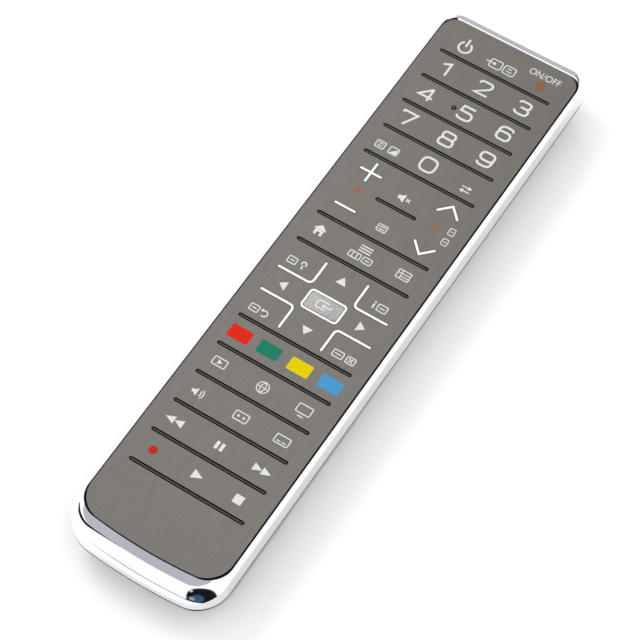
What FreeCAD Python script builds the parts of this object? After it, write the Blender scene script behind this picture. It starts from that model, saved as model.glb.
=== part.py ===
import FreeCAD, Part

import math
import os

# A television remote control with a slotted metal face sheet in a bright frame.
# Millimetres. +Y runs to the end that points at the television and +Z out of the face.
# The origin is under the middle of the length and width, at the table.

# Outline of the bright frame, seen from above
frame_width = 47.7
frame_length = 199.0
frame_top_corner = 6.0
frame_bottom_corner = 10.0
bottom_end_radius = 160.0

# Face sheet, set in from the frame's outline
sheet_side_margin = 1.45
sheet_top_margin = 3.0
sheet_bottom_margin = 6.45
sheet_top_corner = 4.5
sheet_bottom_corner = 8.0
sheet_thickness = 0.5
sheet_fit = 0.3

# Slots that part the rows of keys
slot_side_margin = 5.65
slot_width = 1.1
short_slot_length = 13.3
slot_end = 0.32
first_row_extra = 1.8
even_rows = 11
volume_row_height = 24.5
direction_row_height = 29.15
foot_height = 19.7

# Key pads under the sheet
column_side_margin = 11.15
key_width = 9.6
key_rib_gap = 1.0
key_chamfer = 1.2
key_draft = 0.25
key_head_thickness = 0.7
key_travel = 0.35
key_spare_travel = 0.05
key_sheet_gap = 0.1
stem_width = 4.4
stem_depth = 3.4
stem_clearance = 0.3
colour_side_margin = 9.45
colour_key_width = 7.4

# Rocking keys for volume and channel, and their lit marks
rocker_tilt = 1.2
rocker_stop_gap = 0.07
rocker_width = 9.8
rocker_shift = 0.4
rocker_end_gap = 0.9
fulcrum_radius = 0.15
mark_stroke = 0.8
mark_fit = 0.12
mark_proud = 0.05
plus_width = 7.4
plus_margin = 5.5
chevron_half_width = 3.5
chevron_rise = 3.5
chevron_margin = 4.75

# Light guide round the direction keys
bracket_x = 6.8
bracket_y = 4.3
bracket_side_margin = 6.0
bracket_reach_y = 12.3
bracket_corner = 1.5
guide_margin_x = 1.15
guide_margin_y = 0.9
guide_key_gap = 0.25
guide_wall = 1.4
direction_key_depth = 6.8
up_key_width = 10.4
side_key_depth = 6.0
key_to_bracket = 1.1
ring_width = 12.0
ring_depth = 6.9
ring_corner = 1.3
ring_fit = 0.15
ok_proud = 0.1

# Key mat and its ribs
mat_thickness = 1.0
mat_inset = 0.7
rib_width = 0.7
rib_end_gap = 0.3
rib_below_face = 0.15

# Raised dot beside the middle digit
dot_radius = 0.55
dot_height = 0.15
dot_top = 0.6
dot_offset = 4.1

# Circuit board, its screws and what it carries
board_thickness = 1.0
screw_head_radius = 1.45
screw_head_height = 0.8
screw_radius = 0.7
screw_length = 5.0
head_clearance = 0.25
board_hole_clearance = 0.25
pilot_clearance = 0.05
boss_radius = 2.2
post_sides = 8
screw_sides = 12
processor_size = 9.0
chip_height = 1.2
chip_draft = 0.15
chip_chamfer = 0.2
small_chip_length = 5.0
small_chip_width = 4.0

# Infrared emitters and their window in the frame's end
emitter_radius = 1.5
emitter_length = 5.3
emitter_rim = 0.25
emitter_rim_length = 1.0
dome_steps = 2
dome_angle = 40.0
emitter_x = 4.5
emitter_below_board_top = 1.85
emitter_notch_clearance = 0.4
lead_size = 0.5
window_width = 16.0
window_height = 3.2
window_rise = 2.95
window_fit = 0.1
window_flange = 0.8
window_gap = 0.45

# Bright frame
frame_depth = 8.4
frame_wall = 1.6
ledge_width = 1.5
side_round = 2.0
bottom_round = 5.2
bottom_round_lift = 0.02
lip_width = 2.45
lip_slope_start = 0.1
lip_slope_end = 0.68

# Rear shell
shell_seam = 0.15
shell_step = 0.2
shell_wall = 1.8
shell_side_draft = 1.35
shell_end_draft = 5.0
shell_top_corner = 5.8
shell_bottom_corner = 9.6
shell_round = 3.8
hump_margin = 2.05
ramp_angle = 14.0
belly_start_height = 2.0
belly_slope = 0.014
tongue_gap = 0.1
tongue_thickness = 1.2
tongue_depth = 2.0

# Battery compartment, cells and cover
cell_diameter = 10.5
cell_length = 44.5
cell_nub_length = 1.2
cell_nub_radius = 1.9
cell_edge = 0.5
cell_sides = 24
cell_pitch = 11.0
cell_side_gap = 0.45
cell_end_gap = 1.3
cell_cover_gap = 0.25
cell_roof_gap = 0.1
compartment_end_margin = 8.85
compartment_wall = 1.1
compartment_roof = 1.0
cover_thickness = 1.5
cover_gap = 0.2
cover_half_width = 14.8
cover_dovetail = 0.8
cover_margin = 1.5
cover_end_height = 5.0
shelf_thickness = 1.0
grip_grooves = 5
grip_length = 12.0
grip_width = 0.8
grip_pitch = 1.8
grip_depth = 0.5
contact_thickness = 0.3
contact_width = 8.0
contact_height = 9.0
contact_clearance = 0.1
spring_radius = 3.0
spring_tip_radius = 1.8
dimple_radius = 1.6
dimple_tip_radius = 1.0

# Heights, stacked up from the table
cell_axis_z = cover_thickness + cell_cover_gap + cell_diameter / 2
roof_bottom_z = cell_axis_z + cell_diameter / 2 + cell_roof_gap
board_bottom_z = roof_bottom_z + compartment_roof
board_top_z = board_bottom_z + board_thickness
mat_top_z = board_top_z + mat_thickness
head_bottom_z = mat_top_z + key_travel + key_spare_travel
head_top_z = head_bottom_z + key_head_thickness
sheet_bottom_z = head_top_z + key_sheet_gap
face_z = sheet_bottom_z + sheet_thickness
mark_top_z = face_z + mark_proud
stem_bottom_z = board_top_z + key_travel + key_spare_travel
frame_base_z = face_z - frame_depth
seam_z = frame_base_z - shell_seam

# Places of the battery compartment, counted from the lower end
half_length = frame_length / 2
bay_half_length = cell_length / 2 + cell_end_gap
compartment_centre = -half_length + compartment_end_margin + bay_half_length
bay_low_y = compartment_centre - bay_half_length
bay_high_y = compartment_centre + bay_half_length
cover_top_y = bay_high_y + cover_margin
cover_end_y = bay_low_y - cover_margin
hump_front = cover_top_y + hump_margin

# Places across the face
frame_half = frame_width / 2
slot_length = frame_width - 2 * slot_side_margin
column_pitch = frame_half - column_side_margin
colour_key_pitch = (frame_half - colour_side_margin) * 2 / 3
bracket_reach_x = frame_half - bracket_side_margin
guide_half_width = bracket_reach_x + guide_margin_x
corner_key_x = bracket_x + key_to_bracket + guide_key_gap
corner_key_width = guide_half_width - guide_wall - guide_key_gap - corner_key_x
screw_x = column_pitch / 2

# Places along the face
sheet_top_y = half_length - sheet_top_margin
sheet_length = frame_length - sheet_top_margin - sheet_bottom_margin
tall_rows = first_row_extra + volume_row_height + direction_row_height + foot_height
row_pitch = (sheet_length - tall_rows) / even_rows
row_heights = (
    [row_pitch + first_row_extra]
    + [row_pitch] * 4
    + [volume_row_height, row_pitch, direction_row_height]
    + [row_pitch] * 5
)
slot_y = [sheet_top_y - sum(row_heights[: n + 1]) for n in range(len(row_heights))]
volume_y = (slot_y[4] + slot_y[5]) / 2
direction_y = (slot_y[6] + slot_y[7]) / 2
key_depth = row_pitch - rib_width - 2 * key_rib_gap
plus_reach = volume_row_height / 2 - plus_margin
chevron_reach = volume_row_height / 2 - chevron_margin
screw_rows = (
    (slot_y[0] + slot_y[1]) / 2,
    (volume_y + slot_y[5]) / 2,
    min(y for y in slot_y if y > bay_high_y + compartment_wall + boss_radius),
)

V = FreeCAD.Vector
nodes = {}


def outline(half_width, top_y, bottom_y, top_corner, bottom_corner, end_radius, z):
    """Closed outline: straight sides and top, a slightly rounded lower end, four tangent corners."""
    corner_y = (
        bottom_y
        + end_radius
        - math.sqrt((end_radius - bottom_corner) ** 2 - (half_width - bottom_corner) ** 2)
    )
    corner_x = half_width - bottom_corner
    big_centre_y = bottom_y + end_radius
    grow = end_radius / (end_radius - bottom_corner)
    tangent_x = corner_x * grow
    tangent_y = big_centre_y + (corner_y - big_centre_y) * grow
    turn = math.atan2(corner_x, big_centre_y - corner_y) / 2 + math.pi / 4
    middle_x = corner_x + bottom_corner * math.sin(turn)
    middle_y = corner_y - bottom_corner * math.cos(turn)
    top_x = half_width - top_corner
    knee = top_corner * math.sqrt(0.5)

    def arc(a, b, c):
        return Part.Arc(V(*a, z), V(*b, z), V(*c, z)).toShape()

    def line(a, b):
        return Part.LineSegment(V(*a, z), V(*b, z)).toShape()

    return Part.Wire(
        [
            arc((-tangent_x, tangent_y), (0, bottom_y), (tangent_x, tangent_y)),
            arc((tangent_x, tangent_y), (middle_x, middle_y), (half_width, corner_y)),
            line((half_width, corner_y), (half_width, top_y - top_corner)),
            arc(
                (half_width, top_y - top_corner),
                (top_x + knee, top_y - top_corner + knee),
                (top_x, top_y),
            ),
            line((top_x, top_y), (-top_x, top_y)),
            arc(
                (-top_x, top_y),
                (-top_x - knee, top_y - top_corner + knee),
                (-half_width, top_y - top_corner),
            ),
            line((-half_width, top_y - top_corner), (-half_width, corner_y)),
            arc((-half_width, corner_y), (-middle_x, middle_y), (-tangent_x, tangent_y)),
        ]
    )


def frame_outline(inset, z):
    return outline(
        frame_half - inset,
        half_length - inset,
        -half_length + inset,
        frame_top_corner - inset,
        frame_bottom_corner - inset,
        bottom_end_radius - inset,
        z,
    )


def sheet_outline(inset, z):
    return outline(
        frame_half - sheet_side_margin - inset,
        sheet_top_y - inset,
        -half_length + sheet_bottom_margin + inset,
        sheet_top_corner - inset,
        sheet_bottom_corner - inset,
        bottom_end_radius - inset,
        z,
    )


def prism(wire, height):
    return Part.Face(wire).extrude(V(0, 0, height))


def box(x0, x1, y0, y1, z0, z1):
    return Part.makeBox(x1 - x0, y1 - y0, z1 - z0, V(x0, y0, z0))


def chamfered(x, y, width, depth, chamfer, z):
    """Rectangle with cut corners, centred on x and y."""
    w, d = width / 2, depth / 2
    corners = [
        (w, d - chamfer),
        (w - chamfer, d),
        (chamfer - w, d),
        (-w, d - chamfer),
        (-w, chamfer - d),
        (chamfer - w, -d),
        (w - chamfer, -d),
        (w, chamfer - d),
    ]
    return closed([V(x + a, y + b, z) for a, b in corners])


def upright(shape, x=None, y=None):
    """The shape's vertical edges, or only those at x and y."""
    edges = [e for e in shape.Edges if abs(e.tangentAt(e.FirstParameter).z) > 0.9]
    if x is None:
        return edges
    return [e for e in edges if (e.CenterOfMass - V(x, y, e.CenterOfMass.z)).Length < 0.01]


def rounded(x, y, width, depth, radius, z, height):
    """Prism on a rectangle with round corners, centred on x and y."""
    block = box(x - width / 2, x + width / 2, y - depth / 2, y + depth / 2, z, z + height)
    return block.makeFillet(radius, upright(block))


def frustum(low, high):
    """Solid with flat sides between two polygons of matching, parallel edges."""
    a, b = low.OrderedVertexes, high.OrderedVertexes
    ring = [(a[n].Point, b[n].Point) for n in range(len(a))]
    sides = [
        Part.Face(Part.makePolygon([p, q, q_high, p_high, p]))
        for (p, p_high), (q, q_high) in zip(ring, ring[1:] + ring[:1])
    ]
    return Part.makeSolid(Part.makeShell(sides + [Part.Face(low), Part.Face(high)]))


def regular(radius, height, sides):
    """Corners of a regular polygon round the Z axis."""
    turns = [2 * math.pi * n / sides for n in range(sides)]
    return [V(radius * math.cos(turn), radius * math.sin(turn), height) for turn in turns]


def closed(points):
    return Part.makePolygon(points + points[:1])


def spindle(levels, sides, axis):
    """Solid of regular polygons stacked along an axis, given as radius and distance along it."""
    rings = [regular(radius, height, sides) for radius, height in levels]
    faces = [Part.Face(closed(rings[0])), Part.Face(closed(rings[-1]))]
    for low, high in zip(rings, rings[1:]):
        if low[0].z == high[0].z:
            narrow, wide = sorted([low, high], key=lambda points: points[0].x)
            faces += Part.Face(closed(wide)).cut(Part.Face(closed(narrow))).Faces
        else:
            for n in range(sides):
                faces.append(Part.Face(closed([low[n - 1], low[n], high[n], high[n - 1]])))
    whole = Part.makeSolid(Part.makeShell(faces))
    whole.Placement = FreeCAD.Placement(V(0, 0, 0), FreeCAD.Rotation(V(0, 0, 1), axis))
    return whole


def post(x, y, z, radius, height):
    """Upright post with flats."""
    corners = [V(x, y, z) + corner for corner in regular(radius, 0, post_sides)]
    return prism(closed(corners), height)


def bore(x, y, z, radius, height):
    """Room for a round or flat-sided part of this radius."""
    return post(x, y, z, radius / math.cos(math.pi / post_sides), height)


def slot(length, width, y, z, height):
    """Prism along X, its ends narrowed."""
    return prism(chamfered(0, y, length, width, slot_end, z), height)


def stroke(points, width, z, height, extra=0.0):
    """Raised line of constant width through the points, mitred at a bend and square at its ends."""
    path = [V(x, y, z) for x, y in points]
    ways = [(b - a).normalize() for a, b in zip(path, path[1:])]
    path[0] = path[0] - ways[0] * extra
    path[-1] = path[-1] + ways[-1] * extra
    sides = [way.cross(V(0, 0, 1)) for way in ways]
    before = sides[:1] + sides
    after = sides + sides[-1:]
    mitres = [(a + b) * (width / 2 / (1 + a.dot(b))) for a, b in zip(before, after)]
    right = [p + m for p, m in zip(path, mitres)]
    left = [p - m for p, m in zip(path, mitres)]
    return prism(closed(right + left[::-1]), height)


def fused(first, others):
    return first.fuse(others).removeSplitter() if others else first


def upright_box(x, y, width, depth, z0, z1):
    return box(x - width / 2, x + width / 2, y - depth / 2, y + depth / 2, z0, z1)


def key_stem(x, y, top_z):
    """Stem that passes through the mat down to its dome on the board."""
    return upright_box(x, y, stem_width, stem_depth, stem_bottom_z, top_z)


def key_pad(x, y, width, depth):
    """One pressing pad of the keypad: a drafted head under the sheet, on a stem."""
    head = frustum(
        chamfered(x, y, width, depth, key_chamfer, head_bottom_z),
        chamfered(x, y, width - 2 * key_draft, depth - 2 * key_draft, key_chamfer, head_top_z),
    )
    return head.fuse(key_stem(x, y, head_bottom_z))


# Key pads: name, place and head size
pads = []


def add_row(names, row):
    """Keys on the three columns, or on four narrower ones, centred between two slots."""
    y = slot_y[row] + row_pitch / 2 if row == 0 else (slot_y[row - 1] + slot_y[row]) / 2
    pitch, width = (column_pitch, key_width) if len(names) == 3 else (colour_key_pitch, colour_key_width)
    for n, name in enumerate(names):
        pads.append((name, (n - (len(names) - 1) / 2) * pitch, y, width, key_depth))


add_row(("key_power", "key_source", "key_light"), 0)
add_row(("key_1", "key_2", "key_3"), 1)
add_row(("key_4", "key_5", "key_6"), 2)
add_row(("key_7", "key_8", "key_9"), 3)
add_row(("key_teletext", "key_0", "key_previous_channel"), 4)
add_row(("key_content", "key_menu", "key_guide"), 6)
add_row(("key_red", "key_green", "key_yellow", "key_blue"), 8)
add_row(("key_media", "key_internet", "key_depth"), 9)
add_row(("key_audio", "key_picture_size", "key_subtitle"), 10)
add_row(("key_rewind", "key_pause", "key_forward"), 11)
add_row(("key_record", "key_play", "key_stop"), 12)

mute_y = (slot_y[4] + volume_y) / 2
list_y = (volume_y + slot_y[5]) / 2
pads.append(("key_mute", 0, mute_y, key_width, key_depth))
pads.append(("key_channel_list", 0, list_y, key_width, key_depth))

corner_x = corner_key_x + corner_key_width / 2
corner_y = bracket_y + key_to_bracket + direction_key_depth / 2
for name, side, end in (
    ("key_tools", -1, 1),
    ("key_info", 1, 1),
    ("key_return", -1, -1),
    ("key_exit", 1, -1),
):
    pads.append(
        (name, side * corner_x, direction_y + end * corner_y, corner_key_width, direction_key_depth)
    )
for name, end in (("key_up", 1), ("key_down", -1)):
    pads.append((name, 0, direction_y + end * corner_y, up_key_width, direction_key_depth))
for name, side in (("key_left", -1), ("key_right", 1)):
    pads.append((name, side * corner_x, direction_y, corner_key_width, side_key_depth))

for name, x, y, width, depth in pads:
    nodes[name] = key_pad(x, y, width, depth)

# Centre key: a cap that comes up through the ring of the light guide
ring_inner_width = ring_width - 2 * mark_stroke
ring_inner_depth = ring_depth - 2 * mark_stroke
cap_corner = ring_corner - mark_stroke
cap_outline = chamfered(
    0,
    direction_y,
    ring_inner_width - 2 * ring_fit,
    ring_inner_depth - 2 * ring_fit,
    cap_corner,
    head_bottom_z,
)
cap = prism(cap_outline, face_z + ok_proud - head_bottom_z)
nodes["key_ok"] = cap.fuse(key_stem(0, direction_y, head_bottom_z))

# Volume and channel rockers, which tilt on a fulcrum in the middle of their row
rocker_half_length = volume_row_height / 2 - rib_width / 2 - rocker_end_gap
rocker_swing = rocker_half_length * math.sin(math.radians(rocker_tilt)) + rocker_stop_gap
rocker_bottom_z = mat_top_z + rocker_swing
rocker_top_z = sheet_bottom_z - rocker_swing
rocker_x = column_pitch + rocker_shift
stem_reach = (mute_y - list_y) / 2


def plus_marks(x):
    """Strokes of a plus above the rocker's middle and a minus below it."""
    reach = plus_width / 2
    top_y = volume_y + plus_reach
    low_y = volume_y - plus_reach
    return [
        [(x - reach, top_y), (x + reach, top_y)],
        [(x, top_y - reach), (x, top_y + reach)],
        [(x - reach, low_y), (x + reach, low_y)],
    ]


def chevron_marks(x):
    """Strokes of one chevron that points up and one that points down."""
    half = chevron_half_width
    near = chevron_reach - chevron_rise / 2
    far = chevron_reach + chevron_rise / 2
    return [
        [(x - half, volume_y + end * near), (x, volume_y + end * far), (x + half, volume_y + end * near)]
        for end in (1, -1)
    ]


def rocker(x, marks):
    plate = chamfered(x, volume_y, rocker_width, 2 * rocker_half_length, key_chamfer, rocker_bottom_z)
    body = prism(plate, rocker_top_z - rocker_bottom_z)
    fulcrum = Part.makeCylinder(
        fulcrum_radius,
        rocker_width - 2 * key_chamfer,
        V(x - rocker_width / 2 + key_chamfer, volume_y, rocker_bottom_z),
        V(1, 0, 0),
    )
    stems = [key_stem(x, volume_y + end * stem_reach, rocker_bottom_z) for end in (1, -1)]
    raised = [stroke(points, mark_stroke, rocker_top_z, mark_top_z - rocker_top_z) for points in marks]
    return fused(body, [fulcrum] + stems + raised)


volume_x = -rocker_x
channel_x = rocker_x
nodes["volume_rocker"] = rocker(volume_x, plus_marks(volume_x))
nodes["channel_rocker"] = rocker(channel_x, chevron_marks(channel_x))


# Light guide: a clear carrier plate on the mat, with the brackets and the ring standing on it
def bracket(side, end, width, z, height, extra=0.0):
    """An L with a round corner, its legs running away from the centre key."""
    x0, y0 = side * bracket_x, direction_y + end * bracket_y
    x1 = side * (bracket_reach_x + extra)
    y1 = direction_y + end * (bracket_reach_y + extra)
    half = width / 2
    outer_x, outer_y = x0 - side * half, y0 - end * half
    along = box(min(outer_x, x1), max(outer_x, x1), y0 - half, y0 + half, z, z + height)
    across = box(x0 - half, x0 + half, min(outer_y, y1), max(outer_y, y1), z, z + height)
    whole = fused(along, [across])
    whole = whole.makeFillet(bracket_corner + half, upright(whole, outer_x, outer_y))
    inner = upright(whole, x0 + side * half, y0 + end * half)
    return whole.makeFillet(bracket_corner - half, inner)


quadrants = [(side, end) for side in (-1, 1) for end in (-1, 1)]
guide_half_depth = bracket_reach_y + guide_margin_y
carrier = upright_box(
    0, direction_y, 2 * guide_half_width, 2 * guide_half_depth, mat_top_z, head_top_z
)
direction_keys = [pad for pad in pads if abs(pad[2] - direction_y) < direction_row_height / 2]
key_holes = [
    upright_box(x, y, width + 2 * guide_key_gap, depth + 2 * guide_key_gap, mat_top_z, head_top_z)
    for name, x, y, width, depth in direction_keys
]
mark_height = mark_top_z - head_top_z
ring = rounded(0, direction_y, ring_width, ring_depth, ring_corner, head_top_z, mark_height)
raised_marks = [bracket(side, end, mark_stroke, head_top_z, mark_height) for side, end in quadrants]
hole_outline = chamfered(0, direction_y, ring_inner_width, ring_inner_depth, cap_corner, mat_top_z)
cap_hole = prism(hole_outline, mark_top_z - mat_top_z)
nodes["light_guide"] = fused(carrier.cut(key_holes), [ring] + raised_marks).cut(cap_hole)

# Face sheet: slots, windows for the lit marks and the raised dot
sheet = prism(sheet_outline(0, sheet_bottom_z), sheet_thickness)
windows = [slot(slot_length, slot_width, y, sheet_bottom_z, sheet_thickness) for y in slot_y]
windows.append(slot(short_slot_length, slot_width, volume_y, sheet_bottom_z, sheet_thickness))
windows.append(
    rounded(
        0,
        direction_y,
        ring_width + 2 * mark_fit,
        ring_depth + 2 * mark_fit,
        ring_corner + mark_fit,
        sheet_bottom_z,
        sheet_thickness,
    )
)
window_stroke = mark_stroke + 2 * mark_fit
for points in plus_marks(volume_x) + chevron_marks(channel_x):
    windows.append(stroke(points, window_stroke, sheet_bottom_z, sheet_thickness, mark_fit))
for side, end in quadrants:
    windows.append(bracket(side, end, window_stroke, sheet_bottom_z, sheet_thickness, mark_fit))
digit_row_y = (slot_y[1] + slot_y[2]) / 2
dot = spindle(
    [
        (dot_radius, -sheet_thickness / 2),
        (dot_radius, dot_height / 3),
        (dot_radius * dot_top, dot_height),
    ],
    screw_sides,
    V(0, 0, 1),
)
dot.translate(V(-dot_offset, digit_row_y, face_z))
nodes["face_sheet"] = fused(sheet.cut(windows), [dot])

# Key mat: a sheet of silicone on the board, open at each stem, with a rib up into each slot
mat = prism(sheet_outline(mat_inset, board_top_z), mat_thickness)
stems = [(x, y) for name, x, y, width, depth in pads]
stems.append((0, direction_y))
stems += [(x, volume_y + end * stem_reach) for x in (volume_x, channel_x) for end in (1, -1)]
hole_width = stem_width + 2 * stem_clearance
hole_depth = stem_depth + 2 * stem_clearance
openings = [upright_box(x, y, hole_width, hole_depth, board_top_z, mat_top_z) for x, y in stems]
screw_places = [(side * screw_x, y) for y in screw_rows for side in (-1, 1)]
for x, y in screw_places:
    openings.append(bore(x, y, board_top_z, screw_head_radius + head_clearance, mat_thickness))
rib_height = face_z - rib_below_face - mat_top_z
ribs = []
for y, length in [(y, slot_length) for y in slot_y] + [(volume_y, short_slot_length)]:
    reach = length / 2 - rib_end_gap
    ribs.append(
        box(-reach, reach, y - rib_width / 2, y + rib_width / 2, mat_top_z, mat_top_z + rib_height)
    )
nodes["key_mat"] = fused(mat.cut(openings), ribs)

# Circuit board with notches for the emitters, and holes for the screws
board = prism(sheet_outline(mat_inset, board_bottom_z), board_thickness)
emitter_z = board_top_z - emitter_below_board_top
window_inner_y = half_length - frame_wall - window_flange
emitter_tip_y = window_inner_y - window_gap
emitter_back_y = emitter_tip_y - emitter_length
board_cuts = [
    bore(x, y, board_bottom_z, screw_radius + board_hole_clearance, board_thickness)
    for x, y in screw_places
]
notch = emitter_radius + emitter_rim + emitter_notch_clearance
for side in (-1, 1):
    board_cuts.append(
        box(
            side * emitter_x - notch,
            side * emitter_x + notch,
            emitter_back_y - emitter_notch_clearance,
            half_length,
            board_bottom_z,
            board_top_z,
        )
    )
nodes["circuit_board"] = board.cut(board_cuts)

# Parts soldered under the board: processor, memory, drivers and capacitors
chip_places = [
    (0, slot_y[3], processor_size, processor_size, chip_height),
    (0, slot_y[1], small_chip_length, small_chip_width, chip_height),
    (-column_pitch, slot_y[2], small_chip_width, small_chip_length, chip_height),
    (column_pitch, slot_y[3], small_chip_length, small_chip_width / 2, chip_height),
    (column_pitch, direction_y, small_chip_width / 2, small_chip_width / 2, chip_height),
    (-column_pitch, direction_y, small_chip_width / 2, small_chip_width / 2, chip_height),
]
chips = []
for x, y, width, depth, height in chip_places:
    low_z = board_bottom_z - height
    low = chamfered(x, y, width - 2 * chip_draft, depth - 2 * chip_draft, chip_chamfer, low_z)
    chips.append(frustum(low, chamfered(x, y, width, depth, chip_chamfer, board_bottom_z)))
nodes["board_parts"] = Part.Compound(chips)


# Infrared emitters: domed bodies with a rim, and two leads each bent up to the board
def emitter(x):
    r = emitter_radius
    rim = r + emitter_rim
    straight = emitter_length - r
    domed = [
        (r * math.cos(turn), straight + r * math.sin(turn))
        for turn in (math.radians(n * dome_angle) for n in range(1, dome_steps + 1))
    ]
    body = spindle(
        [(rim, 0), (rim, emitter_rim_length), (r, emitter_rim_length), (r, straight)] + domed,
        screw_sides,
        V(0, 1, 0),
    )
    body.translate(V(x, emitter_back_y, emitter_z))
    leads = [
        box(
            x + side * r / 2 - lead_size / 2,
            x + side * r / 2 + lead_size / 2,
            emitter_back_y - 4 * lead_size,
            emitter_back_y + lead_size,
            board_bottom_z - lead_size,
            board_bottom_z,
        )
        for side in (-1, 1)
    ]
    return body.fuse(leads)


nodes["ir_emitters"] = Part.Compound([emitter(-emitter_x), emitter(emitter_x)])

# Dark window that lets the infrared out through the frame's end
window_z = frame_base_z + window_rise + window_height / 2
pane = box(
    -window_width / 2 + window_fit,
    window_width / 2 - window_fit,
    half_length - frame_wall,
    half_length,
    window_z - window_height / 2 + window_fit,
    window_z + window_height / 2 - window_fit,
)
flange = box(
    -window_width / 2 - window_flange,
    window_width / 2 + window_flange,
    window_inner_y,
    half_length - frame_wall,
    window_z - window_height / 2,
    window_z + window_height / 2,
)
nodes["ir_window"] = fused(pane, [flange])


# Bright frame: a rounded ring with a ledge for the sheet and a wide lip at the lower end
def rounded_above(form, radius):
    """The form with the rim of its highest face rounded."""
    highest = max(form.Faces, key=lambda face: face.CenterOfMass.z)
    return form.makeFillet(radius, highest.Edges)


def rounded_frame_block():
    """The frame's block, its upper edge rounded, cut by a wider round along the lower end."""
    block = prism(frame_outline(0, frame_base_z), frame_depth)
    spread = bottom_round - side_round
    bulge_outline = outline(
        frame_half + spread,
        frame_length,
        -half_length,
        frame_top_corner,
        frame_bottom_corner + spread,
        bottom_end_radius,
        frame_base_z - frame_depth,
    )
    bulge = prism(bulge_outline, 2 * frame_depth + bottom_round_lift)
    bulge = rounded_above(bulge, bottom_round)
    return rounded_above(block, side_round).common(bulge)


frame = rounded_frame_block()
tongue_room_height = board_bottom_z + tongue_gap - frame_base_z
tongue_room = prism(frame_outline(frame_wall, frame_base_z), tongue_room_height)
cavity_outline = outline(
    frame_half - frame_wall,
    half_length - frame_wall,
    -half_length + sheet_bottom_margin,
    frame_top_corner - frame_wall,
    sheet_bottom_corner,
    bottom_end_radius,
    frame_base_z,
)
cavity = prism(cavity_outline, mat_top_z - frame_base_z)
pocket = prism(sheet_outline(-sheet_fit, sheet_bottom_z), face_z - sheet_bottom_z)
mouth = prism(sheet_outline(ledge_width, mat_top_z), sheet_bottom_z - mat_top_z)
lip_top_y = -half_length + sheet_bottom_margin
lip_low_y = lip_top_y - lip_width
lip_profile = Part.makePolygon(
    [
        V(-frame_width, half_length, face_z - lip_slope_start),
        V(-frame_width, lip_top_y, face_z - lip_slope_start),
        V(-frame_width, lip_low_y, face_z - lip_slope_end),
        V(-frame_width, -frame_length, face_z - lip_slope_end),
        V(-frame_width, -frame_length, face_z + lip_width),
        V(-frame_width, half_length, face_z + lip_width),
        V(-frame_width, half_length, face_z - lip_slope_start),
    ]
)
lip_space = Part.Face(lip_profile).extrude(V(2 * frame_width, 0, 0))
lip_outline = sheet_outline(-sheet_fit, face_z - lip_width)
lip_outline.translate(V(0, -lip_width, 0))
lip = prism(lip_outline, 2 * lip_width).common(lip_space)
window_hole = box(
    -window_width / 2,
    window_width / 2,
    window_inner_y,
    frame_length,
    window_z - window_height / 2,
    window_z + window_height / 2,
)
nodes["bright_frame"] = frame.cut([tongue_room, cavity, pocket, mouth, lip, window_hole])


# Rear shell: a drafted tub with a battery hump that ends in a ramp, all lower edges rounded
def side_profile(points):
    """Room across the whole width, from its outline seen from the side."""
    outline_face = Part.Face(closed([V(-frame_width, y, z) for y, z in points]))
    return outline_face.extrude(V(2 * frame_width, 0, 0))


def steep_edges(shape, end):
    """The corner edges at one end of the shell's block."""
    found = []
    for edge in shape.Edges:
        rise = edge.valueAt(edge.LastParameter) - edge.valueAt(edge.FirstParameter)
        if abs(rise.z) > seam_z / 2 and edge.CenterOfMass.y * end > 0:
            found.append(edge)
    return found


def shell_block(inset):
    """Drafted sides and ends with round corners, from the table up to the seam."""
    half = frame_half - shell_step - inset
    low_half = half - shell_side_draft
    end_y = half_length - shell_step - inset
    section = closed(
        [
            V(-half, -frame_length, seam_z),
            V(half, -frame_length, seam_z),
            V(low_half, -frame_length, 0),
            V(-low_half, -frame_length, 0),
        ]
    )
    length_space = side_profile(
        [
            (end_y, seam_z),
            (-frame_length, seam_z),
            (-frame_length, 0),
            (end_y - shell_end_draft, 0),
        ]
    )
    radius = bottom_end_radius - shell_step - inset
    centre = V(0, bottom_end_radius - half_length, 0)
    low_end = Part.makeCone(radius - shell_end_draft, radius, seam_z, centre)
    block = Part.Face(section).extrude(V(0, 2 * frame_length, 0))
    block = block.common(length_space).common(low_end)
    block = block.makeFillet(shell_top_corner - inset, steep_edges(block, 1))
    return block.makeFillet(shell_bottom_corner - inset, steep_edges(block, -1))


def rounded_below(form, radius):
    """The form with the rim of its lowest face rounded."""
    lowest = min(form.Faces, key=lambda face: face.CenterOfMass.z)
    return form.makeFillet(radius, lowest.Edges)


def belly_height(y):
    return belly_start_height + (y - hump_front) * belly_slope


def under_belly(inset):
    low_y, high_y = -frame_length, frame_length
    return side_profile(
        [
            (low_y, belly_height(low_y) + inset),
            (high_y, belly_height(high_y) + inset),
            (high_y, -frame_length),
            (low_y, -frame_length),
        ]
    )


def past_ramp(inset):
    """Room beyond the ramp that ends the hump, and below it."""
    rise = frame_length * math.tan(math.radians(ramp_angle))
    lift = inset / math.cos(math.radians(ramp_angle))
    return side_profile(
        [
            (hump_front, lift),
            (hump_front + frame_length, rise + lift),
            (hump_front + frame_length, -frame_length),
            (hump_front, -frame_length),
        ]
    )


def shell_form(inset, edge_radius):
    """The shell's outer shape, or the same shape set in for its hollow."""
    block = shell_block(inset)
    far = frame_length
    hump = block.cut(side_profile([(-far, -far), (far, -far), (far, inset), (-far, inset)]))
    body = block.cut(under_belly(inset))
    if edge_radius:
        hump = rounded_below(hump, edge_radius)
        body = rounded_below(body, edge_radius)
    return body.fuse(hump.cut(past_ramp(inset)))


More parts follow.
